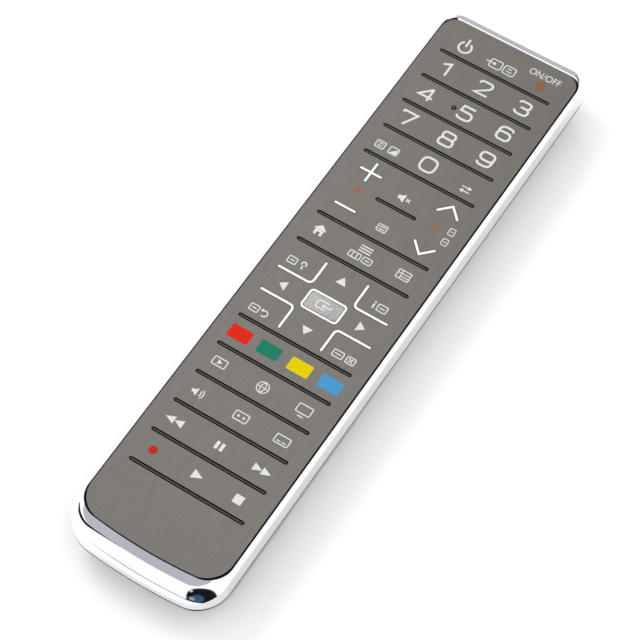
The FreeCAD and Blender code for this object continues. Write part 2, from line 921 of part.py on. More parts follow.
outer_form = shell_form(0, shell_round)
inner_form = shell_form(shell_wall, 0)
tub = outer_form.cut(inner_form)
tongue_inset = frame_wall + tongue_gap
tongue_base_z = seam_z - tongue_depth
tongue_height = board_bottom_z - tongue_base_z
tongue = prism(frame_outline(tongue_inset, tongue_base_z), tongue_height).cut(
    prism(frame_outline(tongue_inset + tongue_thickness, tongue_base_z), tongue_height)
)
tongue_notch = box(
    -window_width / 2 - 2 * window_flange,
    window_width / 2 + 2 * window_flange,
    0,
    frame_length,
    window_z - window_height,
    board_bottom_z,
)
tongue = tongue.cut(tongue_notch)

bay_half_width = cell_pitch / 2 + cell_diameter / 2 + cell_side_gap
bay_wall_x = bay_half_width + compartment_wall
bay_walls = box(
    -bay_wall_x,
    bay_wall_x,
    bay_low_y - compartment_wall,
    bay_high_y + compartment_wall,
    cover_thickness + cover_gap,
    board_bottom_z,
)
cell_space = box(-bay_half_width, bay_half_width, bay_low_y, bay_high_y, 0, roof_bottom_z)

cover_inner_half = cover_half_width + cover_dovetail
seat_half = cover_inner_half + 2 * cover_margin
seat = box(
    -seat_half,
    seat_half,
    -half_length,
    cover_top_y + 2 * cover_margin,
    cover_thickness / 2,
    cover_thickness + cover_gap + shelf_thickness,
).common(outer_form)
end_shelf = box(
    -seat_half,
    seat_half,
    -half_length,
    bay_low_y,
    cover_end_height + cover_gap,
    cover_end_height + cover_gap + shelf_thickness,
).common(outer_form)


def cover_space(gap):
    """Room for the cover: a plate with dovetail sides, and the end wall that turns up."""
    half = cover_half_width + gap
    inner = cover_inner_half + gap
    profile = Part.makePolygon(
        [
            V(-half, -frame_length, -cover_thickness),
            V(half, -frame_length, -cover_thickness),
            V(half, -frame_length, 0),
            V(inner, -frame_length, cover_thickness + gap),
            V(-inner, -frame_length, cover_thickness + gap),
            V(-half, -frame_length, 0),
            V(-half, -frame_length, -cover_thickness),
        ]
    )
    plate = Part.Face(profile).extrude(V(0, frame_length + cover_top_y + gap, 0))
    end_wall = box(
        -inner,
        inner,
        -frame_length,
        cover_end_y + gap,
        cover_thickness / 2,
        cover_end_height + gap,
    )
    return plate.fuse(end_wall)


bosses = []
pilots = []
pilot_radius = screw_radius + pilot_clearance
for x, y in screw_places:
    inside = post(x, y, 0, boss_radius, seam_z).common(outer_form)
    inside = inside.fuse(post(x, y, seam_z, boss_radius, board_bottom_z - seam_z))
    bosses.append(inside)
    pilots.append(bore(x, y, board_bottom_z - screw_length, pilot_radius, screw_length))
shell = tub.fuse([tongue, seat, end_shelf, bay_walls] + bosses)
shell = shell.cut([cell_space] + pilots + [cover_space(cover_gap)])
nodes["rear_shell"] = shell.removeSplitter()

# Battery cover: the piece of the shell's form over the compartment, with grooves to push on
cover_form = outer_form.common(cover_space(0))
cover_hollow = shell_block(cover_thickness).common(
    box(-frame_width, frame_width, -frame_length, cover_end_y, cover_thickness, frame_base_z)
)
grip_y = cover_top_y - 2 * cover_margin
grooves = [
    box(
        -grip_length / 2,
        grip_length / 2,
        grip_y - n * grip_pitch - grip_width,
        grip_y - n * grip_pitch,
        0,
        grip_depth,
    )
    for n in range(grip_grooves)
]
nodes["battery_cover"] = cover_form.cut([cover_hollow] + grooves)


# Cells, one each way round
def cell(x, way):
    r = cell_diameter / 2
    half = cell_length / 2
    shoulder = half - cell_nub_length
    whole = spindle(
        [
            (r - cell_edge, -half),
            (r, cell_edge - half),
            (r, shoulder - cell_edge),
            (r - cell_edge, shoulder),
            (cell_nub_radius, shoulder),
            (cell_nub_radius, half),
        ],
        cell_sides,
        V(0, way, 0),
    )
    whole.translate(V(x, compartment_centre, cell_axis_z))
    return whole


nodes["battery_cells"] = Part.Compound([cell(-cell_pitch / 2, 1), cell(cell_pitch / 2, -1)])


# Contacts: a plate at each end of each cell, with a spring or a dimple that reaches the cell
def contact(x, end, is_spring):
    wall_y = bay_high_y if end > 0 else bay_low_y
    face_y = wall_y - end * contact_thickness
    plate = box(
        x - contact_width / 2,
        x + contact_width / 2,
        min(wall_y, face_y),
        max(wall_y, face_y),
        cell_axis_z - contact_height / 2,
        cell_axis_z + contact_height / 2,
    )
    reach = cell_end_gap - contact_thickness - contact_clearance
    wide, narrow = (
        (spring_radius, spring_tip_radius) if is_spring else (dimple_radius, dimple_tip_radius)
    )
    nose = spindle([(wide, 0), (narrow, reach)], screw_sides, V(0, -end, 0))
    nose.translate(V(x, face_y, cell_axis_z))
    return plate.fuse(nose)


nodes["battery_contacts"] = Part.Compound(
    [
        contact(-cell_pitch / 2, 1, False),
        contact(-cell_pitch / 2, -1, True),
        contact(cell_pitch / 2, 1, True),
        contact(cell_pitch / 2, -1, False),
    ]
)


# Screws that hold the board down on the bosses
def screw(x, y):
    shank_length = board_thickness + screw_length - pilot_clearance
    whole = spindle(
        [
            (screw_radius, -shank_length),
            (screw_radius, 0),
            (screw_head_radius, 0),
            (screw_head_radius, screw_head_height),
        ],
        screw_sides,
        V(0, 0, 1),
    )
    whole.translate(V(x, y, board_top_z))
    return whole


nodes["board_screws"] = Part.Compound([screw(x, y) for x, y in screw_places])

os.makedirs("parts", exist_ok=True)
for name, shape in nodes.items():
    shape.exportStep(f"parts/{name}.step")
print(len(nodes), "nodes")
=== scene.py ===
import math

import bpy
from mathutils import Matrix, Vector


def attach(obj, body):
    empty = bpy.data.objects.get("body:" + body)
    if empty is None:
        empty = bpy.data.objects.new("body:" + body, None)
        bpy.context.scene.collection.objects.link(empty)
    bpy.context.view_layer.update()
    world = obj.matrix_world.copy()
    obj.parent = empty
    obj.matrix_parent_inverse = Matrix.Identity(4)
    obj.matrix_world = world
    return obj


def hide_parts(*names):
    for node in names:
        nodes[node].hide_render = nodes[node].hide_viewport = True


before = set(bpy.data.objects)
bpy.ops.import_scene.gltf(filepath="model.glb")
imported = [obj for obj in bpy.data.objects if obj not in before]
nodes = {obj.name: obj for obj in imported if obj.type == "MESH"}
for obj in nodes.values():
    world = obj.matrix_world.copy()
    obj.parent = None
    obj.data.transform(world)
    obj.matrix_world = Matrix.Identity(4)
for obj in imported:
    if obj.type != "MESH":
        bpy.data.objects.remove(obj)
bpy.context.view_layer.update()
MM = 0.001  # one millimetre, in Blender's metres


# Bright frame. The real one is a moulded rim, plated in bright chrome, that carries the face sheet
# on an inner ledge. Its outer edge is fully rounded and swells into a wide lip at the lower end.
def start_from(name, x, y, z):
    """A new mesh of one corner, from which an outline is drawn by spinning and extruding."""
    bpy.ops.object.select_all(action="DESELECT")
    bpy.ops.mesh.primitive_plane_add(size=MM, location=(x * MM, y * MM, z * MM))
    piece = bpy.context.object
    piece.name = name
    bpy.ops.object.transform_apply(location=True, rotation=True, scale=True)
    bpy.ops.object.mode_set(mode="EDIT")
    bpy.ops.mesh.select_all(action="SELECT")
    bpy.ops.mesh.merge(type="CENTER")
    return piece


def slab(name, half, top, low, top_corner, low_corner, low_z, high_z, end_radius=160.0, steps=12):
    """A plate with straight sides, a slightly curved lower end and four tangent round corners."""
    piece = start_from(name, 0, low, low_z)
    end_y = low + end_radius
    turn = math.asin((half - low_corner) / (end_radius - low_corner))
    corner_y = end_y - (end_radius - low_corner) * math.cos(turn)
    z = low_z * MM
    bpy.ops.mesh.spin(steps=steps, angle=-turn, center=(0, end_y * MM, z), axis=(0, 0, 1))
    bpy.ops.mesh.spin(
        steps=steps,
        angle=turn - math.pi / 2,
        center=((half - low_corner) * MM, corner_y * MM, z),
        axis=(0, 0, 1),
    )
    rise = top - top_corner - corner_y
    bpy.ops.mesh.extrude_region_move(TRANSFORM_OT_translate={"value": (0, rise * MM, 0)})
    bpy.ops.mesh.spin(
        steps=steps,
        angle=-math.pi / 2,
        center=((half - top_corner) * MM, (top - top_corner) * MM, z),
        axis=(0, 0, 1),
    )
    across = top_corner - half
    bpy.ops.mesh.extrude_region_move(TRANSFORM_OT_translate={"value": (across * MM, 0, 0)})
    bpy.ops.object.mode_set(mode="OBJECT")
    mirror = piece.modifiers.new("other_half", "MIRROR")
    mirror.merge_threshold = 0.001 * MM
    bpy.ops.object.modifier_apply(modifier=mirror.name)
    bpy.ops.object.mode_set(mode="EDIT")
    bpy.ops.mesh.select_all(action="SELECT")
    bpy.ops.mesh.remove_doubles(threshold=0.001 * MM)
    bpy.ops.mesh.edge_face_add()
    bpy.ops.mesh.extrude_region_move(
        TRANSFORM_OT_translate={"value": (0, 0, (high_z - low_z) * MM)}
    )
    bpy.ops.mesh.select_all(action="SELECT")
    bpy.ops.mesh.normals_make_consistent(inside=False)
    bpy.ops.object.mode_set(mode="OBJECT")
    return piece


def block(name, x0, x1, y0, y1, z0, z1):
    """A box between two corners, as a start for a piece or a cut."""
    bpy.ops.object.select_all(action="DESELECT")
    middle = ((x0 + x1) / 2 * MM, (y0 + y1) / 2 * MM, (z0 + z1) / 2 * MM)
    bpy.ops.mesh.primitive_cube_add(size=1, location=middle)
    piece = bpy.context.object
    piece.name = name
    piece.scale = ((x1 - x0) * MM, (y1 - y0) * MM, (z1 - z0) * MM)
    bpy.ops.object.transform_apply(location=True, rotation=True, scale=True)
    return piece


def apply_modifier(piece, modifier):
    """Makes a modifier part of the mesh."""
    bpy.ops.object.select_all(action="DESELECT")
    piece.select_set(True)
    bpy.context.view_layer.objects.active = piece
    bpy.ops.object.modifier_apply(modifier=modifier.name)


def combine(piece, other, operation):
    """Cuts the piece with the other solid, or keeps what both share; the other one goes."""
    step = piece.modifiers.new("step", "BOOLEAN")
    step.object = other
    step.operation = operation
    step.solver = "EXACT"
    step.material_mode = "TRANSFER"
    apply_modifier(piece, step)
    bpy.data.objects.remove(other)


def cut_away(piece, cutter, lining):
    """Takes the cutter's space out of the piece, and lines the cut with a material."""
    finish_with(cutter, lining)
    combine(piece, cutter, "DIFFERENCE")


def shade(piece, angle):
    """Shades the piece smoothly over every edge flatter than the angle."""
    bpy.ops.object.select_all(action="DESELECT")
    piece.select_set(True)
    bpy.context.view_layer.objects.active = piece
    bpy.ops.object.shade_smooth_by_angle(angle=math.radians(angle))


def finish_with(piece, material):
    """Gives the whole piece one material."""
    piece.data.materials.clear()
    piece.data.materials.append(material)


def plain_shader(name, colour, metallic, roughness):
    """A material with one Principled shader, and its nodes and links to add to."""
    material = bpy.data.materials.new(name)
    material.use_nodes = True
    tree = material.node_tree
    shader = tree.nodes["Principled BSDF"]
    shader.inputs["Base Color"].default_value = (*colour, 1)
    shader.inputs["Metallic"].default_value = metallic
    shader.inputs["Roughness"].default_value = roughness
    return material, tree, shader


def speckle(tree, scale, low, high, socket, stretch=(1, 1, 1), detail=3):
    """Drives a socket with noise between two values, on Object coordinates."""
    place = tree.nodes.new("ShaderNodeTexCoord")
    mapping = tree.nodes.new("ShaderNodeMapping")
    mapping.inputs["Scale"].default_value = stretch
    noise = tree.nodes.new("ShaderNodeTexNoise")
    noise.inputs["Scale"].default_value = scale
    noise.inputs["Detail"].default_value = detail
    spread = tree.nodes.new("ShaderNodeMapRange")
    spread.inputs["From Min"].default_value = 0.3
    spread.inputs["From Max"].default_value = 0.7
    spread.inputs["To Min"].default_value = low
    spread.inputs["To Max"].default_value = high
    tree.links.new(place.outputs["Object"], mapping.inputs["Vector"])
    tree.links.new(mapping.outputs["Vector"], noise.inputs["Vector"])
    tree.links.new(noise.outputs["Fac"], spread.inputs["Value"])
    tree.links.new(spread.outputs["Result"], socket)
    return noise


def blotch(tree, noise, dark, light, socket):
    """Drives a colour socket between two colours with the noise."""
    ramp = tree.nodes.new("ShaderNodeValToRGB")
    ramp.color_ramp.elements[0].position = 0.3
    ramp.color_ramp.elements[0].color = (*dark, 1)
    ramp.color_ramp.elements[1].position = 0.7
    ramp.color_ramp.elements[1].color = (*light, 1)
    tree.links.new(noise.outputs["Fac"], ramp.inputs["Fac"])
    tree.links.new(ramp.outputs["Color"], socket)


chrome, tree, shader = plain_shader("bright_chrome", (0.86, 0.87, 0.9), 1.0, 0.05)
noise = speckle(tree, 90, 0.03, 0.09, shader.inputs["Roughness"])
blotch(tree, noise, (0.84, 0.85, 0.88), (0.9, 0.91, 0.93), shader.inputs["Base Color"])

FACE = 17.05  # height of the upper side of the sheet and the frame
LIP_START_Y = -93.05  # where the sheet ends and the sloping floor of the lip begins
LIP_SLOPE = 0.17
LEDGE_RADIUS = 160.3  # curve of the lower end, of the cuts near the sheet
SMOOTH_STEPS = 24


def round_top(piece, width, segments, profile=0.5):
    """Rounds the outer edge of the piece's upper face; a low profile gives a flatter curve."""
    weights = piece.data.attributes.new("bevel_weight_edge", "FLOAT", "EDGE")
    for edge in piece.data.edges:
        if min(piece.data.vertices[n].co.z for n in edge.vertices) > (FACE - 0.01) * MM:
            weights.data[edge.index].value = 1
    rounding = piece.modifiers.new("outer_round", "BEVEL")
    rounding.limit_method = "WEIGHT"
    rounding.width = width * MM
    rounding.segments = segments
    rounding.profile = profile
    rounding.use_clamp_overlap = False
    apply_modifier(piece, rounding)


rim = slab("bright_rim", 23.85, 99.5, -99.5, 6.0, 10.0, FACE - 8.4, FACE, steps=SMOOTH_STEPS)
round_top(rim, 2.0, 12)
bulge = slab("bulge", 27.05, 150, -99.5, 6.0, 13.2, 5, FACE, steps=SMOOTH_STEPS)
round_top(bulge, 5.2, 24, 0.36)
combine(rim, bulge, "INTERSECT")
# a near-black lining for the frame's cuts, grooves and seam: painted shade
shade_lining, tree, shader = plain_shader("painted_shade_lining", (0.004, 0.004, 0.004), 0.0, 0.8)
shader.inputs["Specular IOR Level"].default_value = 0.06
noise = speckle(tree, 600, 0.75, 0.85, shader.inputs["Roughness"])
blotch(tree, noise, (0.003, 0.003, 0.003), (0.006, 0.006, 0.006), shader.inputs["Base Color"])
finish_with(rim, chrome)
# From below: room for the shell's tongue, room under the ledge, the mouth that the sheet covers.
# The last cut is the hole in the far end for the infrared window.
# Each cut is lined black, as painted shade.
cut_away(rim, slab("tongue_room", 22.25, 97.9, -97.9, 4.4, 8.4, 8.0, 13.45, 158.4), shade_lining)
cut_away(rim, slab("cavity", 22.24, 97.89, LIP_START_Y, 4.4, 8.0, 13.0, 15.35), shade_lining)
cut_away(rim, slab("mouth", 20.9, 95.0, -91.55, 3.0, 6.5, 15.0, 17.0, 158.5), shade_lining)
cut_away(rim, block("window_hole", -8.0, 8.0, 97.0, 101.0, 11.6, 14.8), shade_lining)


def pick_points(piece, test):
    """Selects the corners of the mesh that pass a test on their place in millimetres."""
    bpy.ops.object.select_all(action="DESELECT")
    piece.select_set(True)
    bpy.context.view_layer.objects.active = piece
    bpy.ops.object.mode_set(mode="EDIT")
    bpy.ops.mesh.select_mode(type="VERT")
    bpy.ops.mesh.select_all(action="DESELECT")
    bpy.ops.object.mode_set(mode="OBJECT")
    for vertex in piece.data.vertices:
        vertex.select = test(*(vertex.co / MM))
    bpy.ops.object.mode_set(mode="EDIT")


def above_lip_floor(piece, depth):
    """Keeps what lies above a plane that falls towards the lower end, from a depth in the face."""
    pick_points(piece, lambda *place: True)
    bpy.ops.mesh.select_all(action="SELECT")
    bpy.ops.mesh.bisect(
        plane_co=(0, LIP_START_Y * MM, (FACE - depth) * MM),
        plane_no=Vector((0, -LIP_SLOPE, 1)).normalized(),
        use_fill=True,
        clear_inner=True,
    )
    bpy.ops.mesh.select_all(action="SELECT")
    bpy.ops.mesh.normals_make_consistent(inside=False)
    bpy.ops.object.mode_set(mode="OBJECT")


lip = slab("lip", 22.7, 93.92, -95.8, 4.72, 8.3, 15.0, 20.0, LEDGE_RADIUS, SMOOTH_STEPS)
above_lip_floor(lip, 0.42)
# The crease lies just outside the lip and thins out towards the middle, since its end is
# flatter. Its walls keep off the lip's own: two cuts with a wall in common can empty the frame.
crease = slab("crease", 22.95, 93.92, -95.81, 4.72, 8.0, 15.0, 20.0, 330, SMOOTH_STEPS)
above_lip_floor(crease, 1.15)
combine(crease, block("left_corner", -26, -5.5, -101, -91, 14, 21), "INTERSECT")
inner = slab("inner", 22.66, 93.9, -95.76, 4.7, 8.26, 12.0, 22.0, 160.26, SMOOTH_STEPS)
combine(crease, inner, "DIFFERENCE")
cut_away(rim, lip, chrome)
# the crease is lined black too: a painted dark reflection along it
cut_away(rim, crease, shade_lining)
# the pocket is a little wider than the sheet, which leaves the narrow groove round it, lined
# black as painted shade
pocket = slab("pocket", 22.72, 96.5, -93.3, 4.2, 7.2, 16.55, 18.0, LEDGE_RADIUS, SMOOTH_STEPS)
cut_away(rim, pocket, shade_lining)
# the flare leans the pocket's far wall outwards
flare_low, flare_high = FACE - 0.45, FACE + 0.45
flare = slab(
    "flare", 22.71, 96.5, -80.0, 4.2, 7.3, flare_low, flare_high, LEDGE_RADIUS, SMOOTH_STEPS
)
pick_points(flare, lambda x, y, z: y > 90 and z > FACE)
bpy.ops.transform.translate(value=(0, 0.9 * MM, 0))
bpy.ops.object.mode_set(mode="OBJECT")
cut_away(rim, flare, chrome)
# a very shallow step round the lower edge, where the frame meets the shell, lined black as the
# seam's painted shade
foot = slab("foot", 26, 102, -102, 8.0, 12.0, 7.0, FACE - 7.65)
within = slab("within", 23.8, 99.45, -99.45, 6.0, 10.0, 6.0, 12.0, steps=SMOOTH_STEPS)
combine(foot, within, "DIFFERENCE")
cut_away(rim, foot, shade_lining)
shade(rim, 14)
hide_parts("bright_frame")
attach(rim, "body")


# Face sheet. One thin sheet of dark steel with a fine grain brushed along its length, cut by long
# slots so that each strip gives under the thumb, and by windows for the lit marks.
def rounded(points):
    """A line through points (x, y, radius), each corner rounded by its own radius."""
    steps = 6
    corners = [Vector(point[:2]) for point in points]
    radii = [point[2] if len(point) > 2 else 0 for point in points]
    count = len(points)
    line = []
    for n, corner in enumerate(corners):
        if radii[n] == 0:
            line.append(corner)
            continue
        before = corners[n - 1] - corner
        after = corners[(n + 1) % count] - corner
        share = 0.5 if radii[n - 1] else 0.98
        a = corner + before.normalized() * min(radii[n], before.length * share)
        share = 0.5 if radii[(n + 1) % count] else 0.98
        b = corner + after.normalized() * min(radii[n], after.length * share)
        for k in range(steps + 1):
            t = k / steps
            spot_on_bend = (1 - t) ** 2 * a + 2 * t * (1 - t) * corner + t**2 * b
            if not line or (spot_on_bend - line[-1]).length > 0.01:
                line.append(spot_on_bend)
    return line


def stroke(points, width, closed=False, round_ends=False):
    """The outline of a line drawn with a pen of the given width."""
    line = rounded(points)
    count = len(line)
    left, right = [], []
    for n, point in enumerate(line):
        first, last = n == 0 and not closed, n == count - 1 and not closed
        come = None if first else (point - line[n - 1]).normalized()
        go = None if last else (line[(n + 1) % count] - point).normalized()
        come, go = come or go, go or come
        side = Vector((-(come.y + go.y), come.x + go.x)).normalized()
        reach = width / 2 / max(side.dot(Vector((-come.y, come.x))), 0.4)
        left.append(point + side * reach)
        right.append(point - side * reach)
    if closed:
        return [left, right]
    if not round_ends:
        return [left + right[::-1]]
    ends = []
    for point, way in ((line[-1], line[-1] - line[-2]), (line[0], line[0] - line[1])):
        start = math.atan2(way.y, way.x) + math.pi / 2
        turns = [start - math.pi * k / 8 for k in range(1, 8)]
        ends.append([point + Vector((math.cos(t), math.sin(t))) * width / 2 for t in turns])
    return [left + ends[0] + right[::-1] + ends[1]]


def patch(x, y, width, depth, corner):
    """A filled rectangle with round corners."""
    points = []
    for n, (sx, sy) in enumerate(((1, 1), (-1, 1), (-1, -1), (1, -1))):
        cx, cy = x + sx * (width / 2 - corner), y + sy * (depth / 2 - corner)
        for k in range(7):
            t = math.radians(90 * n + 15 * k)
            points.append((cx + corner * math.cos(t), cy + corner * math.sin(t)))
    return [points]


def weld():
    """Joins the active piece's corners that share a place, and turns its faces outwards."""
    bpy.ops.object.mode_set(mode="EDIT")
    bpy.ops.mesh.select_all(action="SELECT")
    bpy.ops.mesh.remove_doubles(threshold=0.001 * MM)
    bpy.ops.mesh.normals_make_consistent(inside=False)
    bpy.ops.object.mode_set(mode="OBJECT")


def solid(name, outlines, z0, z1):
    """Outlines filled by turns and given a thickness between two heights."""
    curve = bpy.data.curves.new(name, "CURVE")
    curve.dimensions = "2D"
    curve.fill_mode = "BOTH"
    curve.extrude = (z1 - z0) / 2 * MM
    for points in outlines:
        spline = curve.splines.new("POLY")
        spline.points.add(len(points) - 1)
        for point, place in zip(spline.points, points):
            point.co = (place[0] * MM, place[1] * MM, 0, 1)
        spline.use_cyclic_u = True
    piece = bpy.data.objects.new(name, curve)
    bpy.context.scene.collection.objects.link(piece)
    bpy.ops.object.select_all(action="DESELECT")
    piece.select_set(True)
    bpy.context.view_layer.objects.active = piece
    bpy.ops.object.convert(target="MESH")
    piece = bpy.context.object
    piece.location.z = (z0 + z1) / 2 * MM
    bpy.ops.object.transform_apply(location=True, rotation=True, scale=True)
    weld()
    return piece


VOLUME_Y = 30.45  # middle of the volume and channel rows
LIT_X, LIT_Y = 0.2, -7.05  # middle of the lit ring and brackets
WINDOW_WIDTH = 1.06  # of the windows that the lit marks stand in


def bracket(side, end, width):
    """The outline of one L round the centre key, its legs running outwards."""
    x, y = LIT_X + side * 6.8, LIT_Y + end * 4.3
    far_x, far_y = LIT_X + side * 17.45, LIT_Y + end * 11.9
    return stroke([(x, far_y), (x, y, 1.5), (far_x, y)], width, round_ends=True)


def lit_marks(width):
    """The outlines of the plus and minus, and of the two chevrons."""
    plus = [
        stroke([(-15.5, 37.02), (-9.0, 37.02)], width, round_ends=True),
        stroke([(-12.25, 33.8), (-12.25, 40.3)], width, round_ends=True),
        stroke([(-15.4, 23.38), (-9.1, 23.38)], width, round_ends=True),
    ]
    chevrons = [
        stroke([(10.03, 36.45), (13.23, 39.65), (16.43, 36.45)], width, round_ends=True),
        stroke([(10.03, 24.45), (13.23, 21.25), (16.43, 24.45)], width, round_ends=True),
    ]
    return plus, chevrons


def ripple(tree, noise, shader, distance, strength=0.3):
    """Bumps the surface with the noise."""
    bump = tree.nodes.new("ShaderNodeBump")
    bump.inputs["Distance"].default_value = distance * MM
    bump.inputs["Strength"].default_value = strength
    tree.links.new(noise.outputs["Fac"], bump.inputs["Height"])
    tree.links.new(bump.outputs["Normal"], shader.inputs["Normal"])


brushed, tree, shader = plain_shader("brushed_sheet", (0.218, 0.205, 0.184), 1.0, 0.36)
# the fine grain comes second, so that it is the one that drives the roughness
broad = speckle(tree, 1.0, 0, 1, shader.inputs["Roughness"], (1200, 110, 1), 4)
fine = speckle(tree, 1.0, 0.31, 0.41, shader.inputs["Roughness"], (6000, 300, 1), 4)
blotch(tree, broad, (0.206, 0.194, 0.174), (0.23, 0.217, 0.194), shader.inputs["Base Color"])
ripple(tree, fine, shader, 0.008, 0.12)
sheet = slab(
    "slotted_sheet", 22.27, 96.2, LIP_START_Y, 4.35, 7.87, 16.55, FACE, steps=SMOOTH_STEPS
)
SLOT_LENGTH, SHORT_SLOT_LENGTH, SLOT_WIDTH = 36.4, 13.3, 1.2
slot_rows = (84.3, 73.9, 63.5, 53.1, 42.7, 18.2, 7.8)
slot_rows += (-21.35, -31.75, -42.15, -52.55, -62.95, -73.35)
openings = [patch(0, y, SLOT_LENGTH, SLOT_WIDTH, SLOT_WIDTH / 2) for y in slot_rows]
openings.append(patch(0, VOLUME_Y, SHORT_SLOT_LENGTH, SLOT_WIDTH, SLOT_WIDTH / 2))
openings.append(patch(LIT_X, LIT_Y, 12.24, 7.14, 1.42))
openings += [bracket(side, end, WINDOW_WIDTH) for side in (-1, 1) for end in (-1, 1)]
plus, chevrons = lit_marks(WINDOW_WIDTH)
finish_with(sheet, brushed)
# the slots and windows are lined black: painted shade inside them
for opening in openings + plus + chevrons:
    cut_away(sheet, solid("opening", opening, 15.0, 19.0), shade_lining)


def catches_light(x, y):
    """The rounded edges that show as a fine pale line: below each slot, and at the left end."""
    below_slot = abs(x) < 18.2 and any(-0.65 < y - row < -0.25 for row in slot_rows)
    return below_slot or x < -21 or (x < -13 and y < -88)


weights = sheet.data.attributes.new("bevel_weight_edge", "FLOAT", "EDGE")
for edge in sheet.data.edges:
    ends = [sheet.data.vertices[n].co / MM for n in edge.vertices]
    on_top = min(end.z for end in ends) > FACE - 0.01
    if on_top and all(catches_light(end.x, end.y) for end in ends):
        weights.data[edge.index].value = 1
pale_edge = sheet.modifiers.new("pale_edge", "BEVEL")
pale_edge.limit_method = "WEIGHT"
pale_edge.width = 0.13 * MM
pale_edge.segments = 2
apply_modifier(sheet, pale_edge)
shade(sheet, 1)
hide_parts("face_sheet")
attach(sheet, "body")


# Raised dot. A point of the sheet's own metal, pressed up in the middle of a small dark spot beside
# the 5, so that the thumb finds the digits. It is part of the sheet and needs no fixing.
def soften(piece, width, segments, angle):
    """Rounds every edge sharper than the angle."""
    bevel = piece.modifiers.new("soft_edges", "BEVEL")
    bevel.limit_method = "ANGLE"
    bevel.angle_limit = math.radians(angle)
    bevel.width = width * MM
    bevel.segments = segments
    apply_modifier(piece, bevel)


def dome(name, x, y, radius, low_z, high_z, edge):
    """A short round peg with a rounded rim."""
    bpy.ops.object.select_all(action="DESELECT")
    middle = (x * MM, y * MM, (low_z + high_z) / 2 * MM)
    depth = (high_z - low_z) * MM
    bpy.ops.mesh.primitive_cylinder_add(
        vertices=32, radius=radius * MM, depth=depth, location=middle
    )
    piece = bpy.context.object
    piece.name = name
    bpy.ops.object.transform_apply(location=True, rotation=True, scale=True)
    soften(piece, edge, 4, 50)
    shade(piece, 40)
    return piece


nub_dark, tree, shader = plain_shader("nub_dark", (0.006, 0.006, 0.006), 0.0, 0.8)
shader.inputs["Specular IOR Level"].default_value = 0.1
noise = speckle(tree, 900, 0.7, 0.9, shader.inputs["Roughness"])
blotch(tree, noise, (0.004, 0.004, 0.004), (0.008, 0.008, 0.008), shader.inputs["Base Color"])
nub_base = dome("nub_base", -4.1, 68.7, 0.78, 16.9, 17.08, 0.02)
finish_with(nub_base, nub_dark)
nub = dome("raised_nub", -4.1, 68.7, 0.3, 16.9, 17.2, 0.1)
finish_with(nub, brushed)
for piece in (nub_base, nub):
    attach(piece, "body")


# Key mat and pads. Black silicone rubber: the mat lies on the board and sends a rib up into each
# slot, and under each key place a pad waits between the sheet and its contact.
rubber, tree, shader = plain_shader("black_silicone", (0.008, 0.008, 0.008), 0.0, 0.8)
shader.inputs["Specular IOR Level"].default_value = 0.06
noise = speckle(tree, 900, 0.7, 0.85, shader.inputs["Roughness"])
blotch(tree, noise, (0.003, 0.003, 0.003), (0.006, 0.006, 0.006), shader.inputs["Base Color"])
ripple(tree, noise, shader, 0.02)
for name, node in nodes.items():
    if name.startswith("key_") and name != "key_ok":
        finish_with(node, rubber)
# a paler line along the crest of each rib: a painted highlight
crest_highlight, tree, shader = plain_shader("rib_crest_painted_highlight", (0.11, 0.104, 0.095), 0.0, 0.7)
shader.inputs["Specular IOR Level"].default_value = 0.2
noise = speckle(tree, 700, 0.6, 0.8, shader.inputs["Roughness"])
blotch(tree, noise, (0.1, 0.095, 0.086), (0.12, 0.114, 0.104), shader.inputs["Base Color"])
RIDGE_LOW, RIDGE_HIGH, RIDGE_WIDTH = 16.86, 16.97, 0.26
ridges = [patch(0, y, 35.6, RIDGE_WIDTH, 0.12) for y in slot_rows]
ridges.append(patch(0, VOLUME_Y, 12.5, RIDGE_WIDTH, 0.12))
ridges = [solid("ridge", ridge, RIDGE_LOW, RIDGE_HIGH) for ridge in ridges]
for ridge in ridges:
    ridge.select_set(True)
bpy.ops.object.join()
ridge = bpy.context.object
ridge.name = "rib_ridges"
finish_with(ridge, crest_highlight)
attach(ridge, "body")


# Light guide and rockers. White translucent plastic, lit from the board: four brackets and a ring
# round the direction keys, and the plus, minus and chevrons that stand on the two rockers.
milky, tree, shader = plain_shader("milky_plastic", (0.86, 0.86, 0.85), 0.0, 0.35)
noise = speckle(tree, 400, 0.3, 0.42, shader.inputs["Roughness"])
blotch(tree, noise, (0.84, 0.84, 0.83), (0.9, 0.9, 0.89), shader.inputs["Base Color"])
# black paint for all but the tops of the marks: painted shade in the gaps round them
shade_mask, tree, shader = plain_shader("black_mask_painted_shade", (0.004, 0.004, 0.004), 0.0, 0.8)
shader.inputs["Specular IOR Level"].default_value = 0.06
noise = speckle(tree, 900, 0.7, 0.85, shader.inputs["Roughness"])
blotch(tree, noise, (0.003, 0.003, 0.003), (0.006, 0.006, 0.006), shader.inputs["Base Color"])


def light_through(piece):
    """White plastic only at the tops of the marks; the rest is black, painted shade in the gaps."""
    finish_with(piece, milky)
    piece.data.materials.append(shade_mask)
    for face in piece.data.polygons:
        face.material_index = 0 if face.center.z > (FACE - 0.1) * MM else 1


